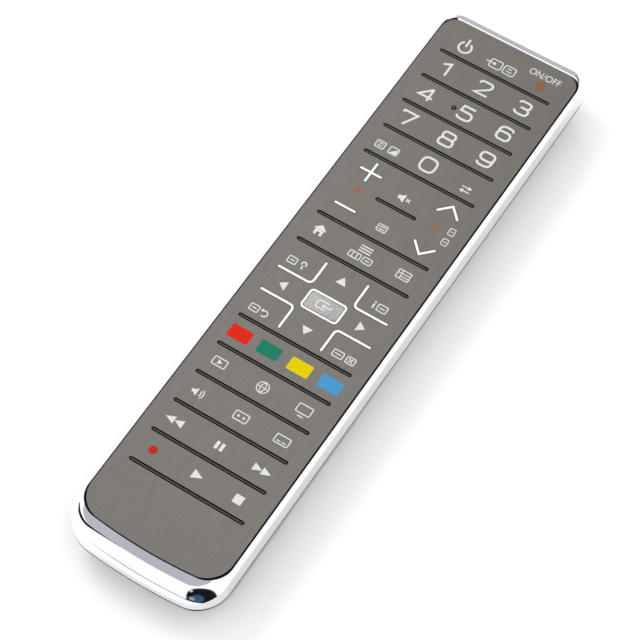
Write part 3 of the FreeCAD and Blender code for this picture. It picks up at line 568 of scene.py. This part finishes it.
MIDDLE_Y = -6.775  # middle of the direction keys
MARK_WIDTH = 0.74  # of the lit lines that show
guide = block("light_guide_plate", -19, 19, MIDDLE_Y - 13.2, MIDDLE_Y + 13.2, 15.35, 16.45)
combine(guide, solid("ring", patch(LIT_X, LIT_Y, 12, 6.9, 1.3), 16.3, 17.1), "UNION")
for side in (-1, 1):
    for end in (-1, 1):
        combine(guide, solid("leg", bracket(side, end, MARK_WIDTH), 16.3, 17.1), "UNION")
key_places = [(x, y, 9.7, 7.3) for x in (-12.75, 12.75) for y in (-8.8, 8.8)]
key_places += [(0, y, 10.9, 7.3) for y in (-8.8, 8.8)]
key_places += [(x, 0, 9.7, 6.5) for x in (-12.75, 12.75)]
for x, y, width, depth in key_places:
    hole = block("hole", x - width / 2, x + width / 2, y - depth / 2, y + depth / 2, 10, 16.45)
    pick_points(hole, lambda *place: True)
    bpy.ops.transform.translate(value=(0, MIDDLE_Y * MM, 0))
    bpy.ops.object.mode_set(mode="OBJECT")
    combine(guide, hole, "DIFFERENCE")
combine(guide, solid("cap_hole", patch(LIT_X, LIT_Y, 10.66, 5.56, 0.7), 10, 19), "DIFFERENCE")
soften(guide, 0.04, 2, 50)
shade(guide, 30)
light_through(guide)
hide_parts("light_guide")
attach(guide, "body")
plus, chevrons = lit_marks(MARK_WIDTH)
for name, x, marks in (("volume_rocker", -13.1, plus), ("channel_rocker", 13.1, chevrons)):
    plate = solid(name + "_plate", patch(x, VOLUME_Y, 9.8, 22, 0.9), 15.65, 16.25)
    for outline in marks:
        combine(plate, solid("mark", outline, 16.1, 17.1), "UNION")
    for end in (-1, 1):
        y = VOLUME_Y + end * 6.125
        foot = block("foot", x - 2.2, x + 2.2, y - 1.7, y + 1.7, 14.75, 15.8)
        combine(plate, foot, "UNION")
    soften(plate, 0.04, 2, 50)
    shade(plate, 30)
    light_through(plate)
    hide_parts(name)
    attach(plate, name)


# Centre key. A grey satin cap, moulded with a fine grain, that comes up through the white ring,
# with a pale arrow into a box printed on it.
cap_grey, tree, shader = plain_shader("grained_cap", (0.42, 0.41, 0.4), 0.4, 0.5)
noise = speckle(tree, 2600, 0.42, 0.6, shader.inputs["Roughness"], detail=2)
blotch(tree, noise, (0.33, 0.32, 0.31), (0.53, 0.52, 0.51), shader.inputs["Base Color"])
ripple(tree, noise, shader, 0.02, 0.4)
CAP_TOP = 17.15
cap = solid("centre_cap", patch(LIT_X, LIT_Y, 10.3, 5.2, 0.6), 15.75, CAP_TOP)
soften(cap, 0.18, 3, 60)
stem = block("cap_stem", -2.2, 2.2, -8.475, -5.075, 14.75, 15.8)
combine(cap, stem, "UNION")
shade(cap, 30)
finish_with(cap, cap_grey)
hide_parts("key_ok")
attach(cap, "key_ok")


# Printed marks. Pale ink, screen printed on the sheet: plain digits, and plain pictograms where
# the keys have their names.
def ink(name, colour):
    """A dull ink with a slightly uneven coat."""
    material, tree, shader = plain_shader(name, colour, 0.0, 0.5)
    shader.inputs["Specular IOR Level"].default_value = 0.08
    noise = speckle(tree, 1500, 0.42, 0.6, shader.inputs["Roughness"])
    dark = [value * 0.92 for value in colour]
    blotch(tree, noise, dark, colour, shader.inputs["Base Color"])
    return material


made_marks = []
PRINT_SHIFT_X, PRINT_SHIFT_Y = 0.25, -0.05  # the whole print lies this far off the drawn places


def printed(*groups, base=FACE):
    """Marks of ink: each group is filled by turns, a hair above the one before."""
    for lift, outlines in enumerate(groups):
        placed = [[(x + PRINT_SHIFT_X, y + PRINT_SHIFT_Y) for x, y in line] for line in outlines]
        made_marks.append(solid("mark", placed, base - 0.002, base + 0.018 + 0.003 * lift))


def gather(name, material, rider="body"):
    """Joins the marks made so far into one printed piece."""
    bpy.ops.object.select_all(action="DESELECT")
    for mark in made_marks:
        mark.select_set(True)
    bpy.context.view_layer.objects.active = made_marks[0]
    bpy.ops.object.join()
    piece = bpy.context.object
    piece.name = name
    made_marks.clear()
    finish_with(piece, material)
    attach(piece, rider)


def pen(x, y, *lines, width=0.68, closed=()):
    """Strokes drawn from a corner; a line whose number is in closed ends where it began."""
    moved = [[(x + p[0], y + p[1], *p[2:]) for p in line] for line in lines]
    printed(*[stroke(line, width, closed=n in closed) for n, line in enumerate(moved)])


def box_line(x0, y0, x1, y1, radius):
    """The four corners of a rectangle, for a closed line."""
    return [(x0, y0, radius), (x1, y0, radius), (x1, y1, radius), (x0, y1, radius)]


pale_ink = ink("pale_ink", (0.72, 0.72, 0.71))
# the digits, row by row, and the 0 below them
pen(-14.93, 76.87, [(0, 3.5), (2.3, 4.56), (2.3, 0)])
pen(
    -2.55,
    76.9,
    [(0, 3.5), (0, 4.56, 1.1), (4.02, 4.56, 1.3), (4.02, 2.85, 0.8), (0, 0), (4.1, 0)],
)
pen(
    10.46,
    76.87,
    [(0.15, 3.75), (0.2, 4.56, 1.1), (3.9, 4.56, 1.3), (3.9, 2.4, 1.1), (1.2, 2.4)],
    [(2.6, 2.4), (4.02, 2.4, 1.2), (4.02, 0, 1.5), (0, 0, 1.5), (0, 0.95)],
)
pen(-15.6, 66.48, [(3.2, 4.4), (0, 1.25), (4.47, 1.25)], [(3.3, 4.56), (3.3, 0)])
pen(
    -2.43,
    66.48,
    [(4.0, 4.56), (0.4, 4.56), (0.2, 2.72), (4.2, 2.75, 1.5), (4.2, 0, 1.5), (0, 0, 1.4), (0, 0.9)],
)
pen(
    10.46,
    66.48,
    box_line(0, 0, 4.02, 2.75, 1.35),
    [(0, 1.5), (0, 4.56, 1.8), (3.9, 4.56, 1.3), (3.95, 3.7)],
    closed=(0,),
)
pen(-15.74, 55.98, [(0, 3.9), (0, 4.65), (4.38, 4.65), (1.7, 0)])
pen(
    -2.46,
    55.98,
    box_line(0.2, 2.45, 4.1, 4.65, 1.1),
    box_line(0, 0, 4.3, 2.45, 1.2),
    closed=(0, 1),
)
pen(
    10.46,
    55.98,
    box_line(0, 1.9, 4.2, 4.65, 1.35),
    [(4.2, 3.2), (4.2, 0, 1.8), (0.1, 0, 1.3), (0.05, 0.9)],
    closed=(0,),
)
pen(-2.55, 45.61, box_line(0, 0, 4.65, 4.74, 1.9), closed=(0,))
gather("printed_digits", pale_ink)


def bar(x0, y0, x1, y1, width=0.34):
    """A straight stroke."""
    return stroke([(x0, y0), (x1, y1)], width)


def arc(x, y, radius, start, end, width=0.34):
    """A curved stroke, from one angle to another in degrees."""
    turns = [math.radians(start + (end - start) * n / 24) for n in range(25)]
    return stroke([(x + radius * math.cos(t), y + radius * math.sin(t)) for t in turns], width)


def disc(x, y, radius):
    """A filled circle."""
    return patch(x, y, 2 * radius, 2 * radius, radius)


def border(x0, y0, x1, y1, radius=0.35, width=0.32):
    """A box drawn as a line, between two corners of its outer edge."""
    h = width / 2
    return stroke(box_line(x0 + h, y0 + h, x1 - h, y1 - h, radius), width, closed=True)


def shape(*points):
    """A filled outline with sharp corners."""
    return [[Vector(point) for point in points]]


# the power mark, and an arrow into a screen beside a page of lines
printed(arc(-12.65, 88.72, 1.95, 122, 418, 0.62), bar(-12.65, 89.0, -12.65, 92.0, 0.62))
printed(border(-4.0, 86.74, 0, 89.99, 0.7), disc(-2.5, 88.4, 0.5))
printed(bar(-5.2, 88.4, -2.8, 88.4), base=FACE + 0.005)
printed(border(0.5, 86.74, 4.43, 89.99, 0.7), bar(1.6, 88.9, 3.0, 88.9), bar(1.6, 87.9, 3.4, 87.9))
# a page of text, a split screen, and a swap between two channels
printed(
    border(-16.9, 45.3, -13.8, 48.0),
    bar(-16.1, 47.1, -14.6, 47.1),
    bar(-16.1, 46.2, -14.6, 46.2),
)
printed(border(-12.5, 45.3, -9.4, 48.0))
printed(shape((-12.0, 45.7), (-9.9, 45.7), (-9.9, 47.6)))
printed(bar(11.3, 47.2, 13.4, 47.2), shape((14.6, 47.2), (13.4, 47.9), (13.4, 46.5)))
printed(bar(12.4, 45.8, 14.5, 45.8), shape((11.2, 45.8), (12.4, 46.5), (12.4, 45.1)))
# a crossed-out speaker, and a list
printed(shape((-1.9, 34.0), (-1.0, 34.0), (0.1, 33.1), (0.1, 36.1), (-1.0, 35.2), (-1.9, 35.2)))
printed(bar(0.7, 34.0, 1.9, 35.2))
printed(bar(0.7, 35.2, 1.9, 34.0), base=FACE + 0.003)
printed(border(-1.63, 21.68, 1.54, 24.21), bar(-0.9, 23.4, 0.85, 23.4), bar(-0.9, 22.5, 0.85, 22.5))
# page up and page down, beside the channel rocker
printed(border(16.0, 31.0, 18.0, 33.5, 0.3, 0.26), bar(16.5, 32.3, 17.5, 32.3, 0.26))
printed(border(16.0, 27.2, 18.0, 29.6, 0.3, 0.26), bar(16.5, 28.4, 17.5, 28.4, 0.26))
# a house, a menu of lines, and a programme grid
printed(shape((-14.3, 15.0), (-16.3, 13.3), (-12.3, 13.3)))
walls = [(-15.6, 13.2), (-15.6, 11.4), (-14.8, 11.4), (-14.8, 12.5)]
walls += [(-13.8, 12.5), (-13.8, 11.4), (-13.0, 11.4), (-13.0, 13.2)]
printed(shape(*walls))
for y in (15.4, 14.5, 13.6):
    printed(bar(-1.9, y, 1.9, y, 0.4))
printed(border(-3.8, 10.4, 0.1, 12.65))
printed(bar(-2.5, 10.6, -2.5, 12.45), bar(-1.2, 10.6, -1.2, 12.45), base=FACE + 0.003)
printed(border(0.6, 10.4, 3.7, 12.65), bar(1.4, 11.5, 2.9, 11.5))
printed(border(11.0, 11.6, 15.2, 14.7, 0.2), bar(12.4, 11.8, 12.4, 14.5, 0.28))
printed(bar(11.2, 13.5, 15.0, 13.5, 0.28), base=FACE + 0.003)
printed(bar(12.5, 12.6, 15.0, 12.6, 0.28), base=FACE + 0.003)
# tools, information, return and exit
printed(border(-16.9, -0.3, -13.9, 2.1), bar(-16.1, 0.9, -14.7, 0.9))
printed(arc(-11.9, 1.4, 0.7, -40, 220, 0.4), bar(-11.9, -0.4, -11.9, 0.8, 0.45))
printed(bar(11.2, -0.3, 11.2, 1.25, 0.5), disc(11.2, 1.85, 0.32))
printed(border(12.2, -0.36, 15.4, 2.1), bar(13.0, 0.85, 14.6, 0.85))
printed(border(-17.3, -18.7, -14.3, -16.3), bar(-16.5, -17.5, -15.1, -17.5))
printed(
    arc(-12.5, -17.7, 0.95, -120, 150, 0.36),
    shape((-13.9, -17.3), (-12.9, -17.3), (-13.5, -16.3)),
)
printed(border(9.5, -18.7, 13.0, -16.3), bar(10.3, -17.5, 12.2, -17.5))
printed(border(13.8, -18.7, 16.7, -16.3), bar(14.6, -16.9, 15.9, -18.1))
printed(bar(14.6, -18.1, 15.9, -16.9), base=FACE + 0.003)
# film, globe, screen, then sound, picture size and captions
printed(border(-16.4, -38.2, -12.0, -35.4), shape((-13.4, -36.8), (-14.8, -36.0), (-14.8, -37.6)))
printed(disc(-0.2, -37.0, 1.9) + disc(-0.2, -37.0, 1.6))
printed(bar(-1.7, -37.0, 1.3, -37.0, 0.26), base=FACE + 0.003)
printed(stroke([(-0.2, -35.3), (-1.3, -37.0, 1.4), (-0.2, -38.7)], 0.26), base=FACE + 0.006)
printed(stroke([(-0.2, -35.3), (0.9, -37.0, 1.4), (-0.2, -38.7)], 0.26), base=FACE + 0.009)
printed(border(10.6, -38.2, 15.2, -35.2), bar(12.0, -39.0, 13.8, -39.0))
horn = [(-15.9, -48.1), (-15.1, -48.1), (-14.2, -48.9)]
horn += [(-14.2, -46.3), (-15.1, -47.1), (-15.9, -47.1)]
printed(shape(*horn))
printed(arc(-14.2, -47.6, 1.1, -45, 45))
printed(arc(-14.2, -47.6, 1.9, -45, 45))
printed(border(-2.4, -49.0, 2.1, -46.1), shape((-1.5, -47.55), (-0.7, -47.0), (-0.7, -48.1)))
printed(shape((1.2, -47.55), (0.4, -48.1), (0.4, -47.0)))
printed(border(10.6, -49.0, 15.2, -46.1), bar(11.5, -48.1, 12.7, -48.1))
printed(bar(13.1, -48.1, 14.3, -48.1))
gather("printed_pictograms", pale_ink)


def lettered(text, x, y, width, depth):
    """A plain switch word, drawn to fill the given width and depth."""
    bpy.ops.object.select_all(action="DESELECT")
    bpy.ops.object.text_add()
    mark = bpy.context.object
    mark.data.body = text
    mark.data.extrude = 0.01
    mark.data.resolution_u = 6
    bpy.ops.object.convert(target="MESH")
    mark = bpy.context.object
    corners = [vertex.co.copy() for vertex in mark.data.vertices]
    low = Vector([min(c[n] for c in corners) for n in range(3)])
    high = Vector([max(c[n] for c in corners) for n in range(3)])
    mark.scale = (width * MM / (high.x - low.x), depth * MM / (high.y - low.y), MM)
    middle = (low + high) / 2
    mark.location = (
        x * MM - middle.x * mark.scale.x,
        y * MM - middle.y * mark.scale.y,
        (FACE + 0.008) * MM,
    )
    bpy.ops.object.transform_apply(location=True, rotation=True, scale=True)
    weld()
    made_marks.append(mark)


lettered("ON/OFF", 12.6, 92.02, 10.03, 2.26)
gather("printed_switch_word", pale_ink)

orange_ink = ink("orange_ink", (0.235, 0.118, 0.062))
printed(disc(12.6, 88.8, 1.5))
printed(shape((11.8, 88.2), (12.1, 86.3), (13.1, 86.3), (13.4, 88.2)), base=FACE + 0.003)
gather("printed_lamp", orange_ink)
warm_ink = ink("warm_ink", (0.34, 0.125, 0.05))
# a small speaker by the volume rocker, and three lines by the channel rocker
horn = [(-13.6, 29.6), (-12.9, 29.6), (-12.0, 28.8)]
horn += [(-12.0, 31.4), (-12.9, 30.6), (-13.6, 30.6)]
printed(shape(*horn))
printed(arc(-12.2, 30.1, 1.1, -50, 50))
printed(*[bar(11.2, y, 13.1, y, 0.5) for y in (31.8, 30.9, 30.0)])
gather("printed_orange", warm_ink)

# arrows and transport marks
printed(shape((-0.09, 3.89), (-1.72, 1.36), (1.54, 1.36)))
printed(shape((-0.09, -17.35), (1.54, -14.91), (-1.72, -14.91)))
printed(shape((-14.45, -7.17), (-12.19, -8.79), (-12.19, -5.63)))
printed(shape((13.29, -7.17), (10.94, -5.63), (10.94, -8.79)))
for x in (-17.26, -14.55):
    printed(shape((x, -57.87), (x + 2.71, -59.09), (x + 2.71, -56.65)))
for x in (-0.9, 0.71):
    printed(patch(x, -57.87, 0.95, 2.44, 0.05))
for x in (10.66, 13.37):
    printed(shape((x + 2.71, -57.87), (x, -56.65), (x, -59.09)))
printed(shape((1.45, -68.21), (-1.63, -66.77), (-1.63, -69.66)))
printed(patch(12.78, -68.21, 2.62, 2.7, 0.05))
gather("printed_arrows", pale_ink)

for name, x, colour in (
    ("red", -14.5, (0.68, 0.018, 0.006)),
    ("green", -5.05, (0.012, 0.19, 0.12)),
    ("yellow", 4.83, (0.72, 0.56, 0.0)),
    ("blue", 14.55, (0.06, 0.29, 0.56)),
):
    printed(patch(x, -26.56, 6.7, 4.2, 0.5))
    gather("printed_" + name, ink(name + "_ink", colour))
printed(disc(-14.28, -68.21, 1.26))
gather("printed_record", ink("record_ink", (0.5, 0.02, 0.008)))

# the centre key's arrow into a box, printed on the cap
cap_ink = ink("cap_ink", (0.75, 0.75, 0.74))
box_open = [(1.2, -5.75), (-2.3, -5.75, 0.9), (-2.3, -8.15, 0.9), (0.8, -8.15, 0.9), (0.8, -7.75)]
printed(stroke(box_open, 0.36), base=CAP_TOP)
printed(stroke([(2.2, -6.05), (2.2, -7.0), (0.2, -7.0)], 0.36), base=17.153)
printed(shape((-0.8, -7.0), (0.2, -6.35), (0.2, -7.65)), base=17.153)
gather("printed_enter", cap_ink, "key_ok")


# Rear shell and battery cover. Glossy black plastic, moulded, with the battery hump at the lower
# end; the cover slides off towards the lower end on its dovetail sides.
gloss, tree, shader = plain_shader("gloss_black", (0.012, 0.012, 0.014), 0.0, 0.12)
noise = speckle(tree, 250, 0.08, 0.16, shader.inputs["Roughness"])
blotch(tree, noise, (0.01, 0.01, 0.012), (0.016, 0.016, 0.018), shader.inputs["Base Color"])
shader.inputs["Coat Weight"].default_value = 0.5
shader.inputs["Coat Roughness"].default_value = 0.05
for name in ("rear_shell", "battery_cover"):
    finish_with(nodes[name], gloss)


# Infrared window and emitters. A dark, clear plastic pane in the end of the frame, with two
# smoky emitters behind it.
smoky, tree, shader = plain_shader("smoky_pane", (0.02, 0.008, 0.016), 0.0, 0.08)
noise = speckle(tree, 200, 0.05, 0.12, shader.inputs["Roughness"])
blotch(tree, noise, (0.016, 0.006, 0.013), (0.026, 0.012, 0.022), shader.inputs["Base Color"])
for name in ("ir_window", "ir_emitters"):
    finish_with(nodes[name], smoky)


# Board and what it carries. A green lacquered laminate with black moulded chips soldered on, held
# by plated steel screws. The cells' contacts are plated steel as well; the cells have grey jackets.
lacquer, tree, shader = plain_shader("green_lacquer", (0.02, 0.12, 0.05), 0.0, 0.3)
noise = speckle(tree, 300, 0.25, 0.4, shader.inputs["Roughness"])
blotch(tree, noise, (0.015, 0.1, 0.04), (0.03, 0.15, 0.065), shader.inputs["Base Color"])
finish_with(nodes["circuit_board"], lacquer)
epoxy, tree, shader = plain_shader("black_epoxy", (0.03, 0.03, 0.03), 0.0, 0.55)
noise = speckle(tree, 1200, 0.5, 0.65, shader.inputs["Roughness"])
blotch(tree, noise, (0.02, 0.02, 0.02), (0.04, 0.04, 0.04), shader.inputs["Base Color"])
finish_with(nodes["board_parts"], epoxy)
steel, tree, shader = plain_shader("plated_steel", (0.6, 0.6, 0.6), 1.0, 0.3)
noise = speckle(tree, 700, 0.22, 0.4, shader.inputs["Roughness"])
blotch(tree, noise, (0.5, 0.5, 0.5), (0.66, 0.66, 0.65), shader.inputs["Base Color"])
for name in ("board_screws", "battery_contacts"):
    finish_with(nodes[name], steel)
case, tree, shader = plain_shader("cell_case", (0.3, 0.3, 0.32), 0.8, 0.35)
noise = speckle(tree, 300, 0.28, 0.42, shader.inputs["Roughness"])
blotch(tree, noise, (0.26, 0.26, 0.28), (0.34, 0.34, 0.36), shader.inputs["Base Color"])
finish_with(nodes["battery_cells"], case)


# Floor, light and camera. A white sweep of paper and one soft lamp at the upper left. The sky has
# plain patches that the chrome and the brushed sheet mirror; the camera itself sees it white.
bpy.ops.object.select_all(action="DESELECT")
bpy.ops.mesh.primitive_plane_add(size=6, location=(0, 0, 0))
floor = bpy.context.object
floor.name = "floor"
paper, tree, shader = plain_shader("white_paper", (0.83, 0.83, 0.83), 0.0, 0.9)
finish_with(floor, paper)
# the paper glows a little, so that it stays white away from the lamp
glow = tree.nodes.new("ShaderNodeEmission")
glow.inputs["Strength"].default_value = 0.2
both = tree.nodes.new("ShaderNodeAddShader")
tree.links.new(shader.outputs["BSDF"], both.inputs[0])
tree.links.new(glow.outputs["Emission"], both.inputs[1])
tree.links.new(both.outputs["Shader"], tree.nodes["Material Output"].inputs["Surface"])

world = bpy.data.worlds.new("studio")
bpy.context.scene.world = world
world.use_nodes = True
sky = world.node_tree
back = sky.nodes["Background"]
way = sky.nodes.new("ShaderNodeTexCoord")


def along(direction):
    """How far a direction of the sky points along the given one, from -1 to 1."""
    dot = sky.nodes.new("ShaderNodeVectorMath")
    dot.operation = "DOT_PRODUCT"
    dot.inputs[1].default_value = Vector(direction).normalized()
    sky.links.new(way.outputs["Generated"], dot.inputs[0])
    return dot.outputs["Value"]


def spot(direction, inner, outer):
    """One inside a patch of sky round the direction, zero outside, with angles in degrees."""
    edge = sky.nodes.new("ShaderNodeMapRange")
    edge.interpolation_type = "SMOOTHSTEP"
    edge.inputs["From Min"].default_value = math.cos(math.radians(outer))
    edge.inputs["From Max"].default_value = math.cos(math.radians(inner))
    sky.links.new(along(direction), edge.inputs["Value"])
    return edge.outputs["Result"]


ROOM_WHITE = (1.15, 1.15, 1.15)


def over(below, patch_mask, colour):
    """Lays a colour over the sky made so far, where the mask is one."""
    mix = sky.nodes.new("ShaderNodeMix")
    mix.data_type = "RGBA"
    sky.links.new(patch_mask, mix.inputs["Factor"])
    if below is None:
        mix.inputs["A"].default_value = (*ROOM_WHITE, 1)
    else:
        sky.links.new(below, mix.inputs["A"])
    mix.inputs["B"].default_value = (*colour, 1)
    return mix.outputs["Result"]


LAVENDER = (0.53, 0.53, 0.575)
DARK = (0.01, 0.01, 0.012)
view = None
for direction, inner, outer, colour in (
    # overhead and towards the far end, for the lavender bands in the chrome
    ((-0.28, 0.28, 0.92), 21, 29, LAVENDER),
    ((-0.26, 0.78, 0.57), 16, 22, LAVENDER),
    ((-0.25, 0.96, 0.14), 13, 18, LAVENDER),
    # at the upper left, a pale patch and two bright ones that lighten the sheet
    ((-0.83, 0.43, 0.345), 8, 16, (0.86, 0.86, 0.88)),
    ((-0.54, 0.55, 0.64), 7, 13, (3.2, 3.2, 3.2)),
    ((-0.24, 0.345, 0.907), 2, 6, (3.4, 3.4, 3.3)),
    # low on the near side, for the dark and blue spot in the frame's lower right corner
    ((0.44, -0.86, 0.26), 26, 29, DARK),
    ((0.04, -0.998, 0.03), 3, 4.5, DARK),
    ((0.34, -0.91, 0.22), 8.5, 13, (0.04, 0.11, 0.18)),
    ((0.17, -0.97, 0.17), 1, 7, (0.3, 0.42, 0.48)),
    ((0.07, -0.87, 0.49), 2, 4, (0.7, 0.7, 0.74)),
    # towards the far end, for the black wedge in the frame's upper right corner
    ((-0.03, 0.757, 0.653), 5.5, 7, DARK),
):
    view = over(view, spot(direction, inner, outer), colour)
# a grey strip low on the near side
low = sky.nodes.new("ShaderNodeMapRange")
low.inputs["From Min"].default_value = 0.045
low.inputs["From Max"].default_value = 0.025
sky.links.new(along((0, 0, 1)), low.inputs["Value"])
skirting = sky.nodes.new("ShaderNodeMath")
skirting.operation = "MULTIPLY"
sky.links.new(low.outputs["Result"], skirting.inputs[0])
sky.links.new(spot((-0.15, -0.98, 0.03), 10, 18), skirting.inputs[1])
view = over(view, skirting.outputs["Value"], (0.2, 0.2, 0.21))
seen = sky.nodes.new("ShaderNodeLightPath")
view = over(view, seen.outputs["Is Camera Ray"], (1, 1, 1))
sky.links.new(view, back.inputs["Color"])
back.inputs["Strength"].default_value = 1.0

light = bpy.data.lights.new("soft_box_left", "AREA")
light.size = 0.3
light.energy = 1.6
holder = bpy.data.objects.new("soft_box_left", light)
holder.location = (-0.52, 0.11, 0.72)
holder.rotation_euler = (-holder.location).to_track_quat("-Z", "Y").to_euler()
holder.visible_glossy = False
bpy.context.scene.collection.objects.link(holder)

# the camera fitted to the photograph
camera = bpy.data.objects.new("camera", bpy.data.cameras.new("camera"))
bpy.context.scene.collection.objects.link(camera)
camera.location = (0.18283, -0.289444, 0.587934)
camera.rotation_euler = [math.radians(turn) for turn in (30.183516, 0.195322, 32.737969)]
camera.data.sensor_width = 36
camera.data.lens = 136.578
bpy.context.scene.camera = camera
bpy.context.scene.view_settings.view_transform = "Standard"
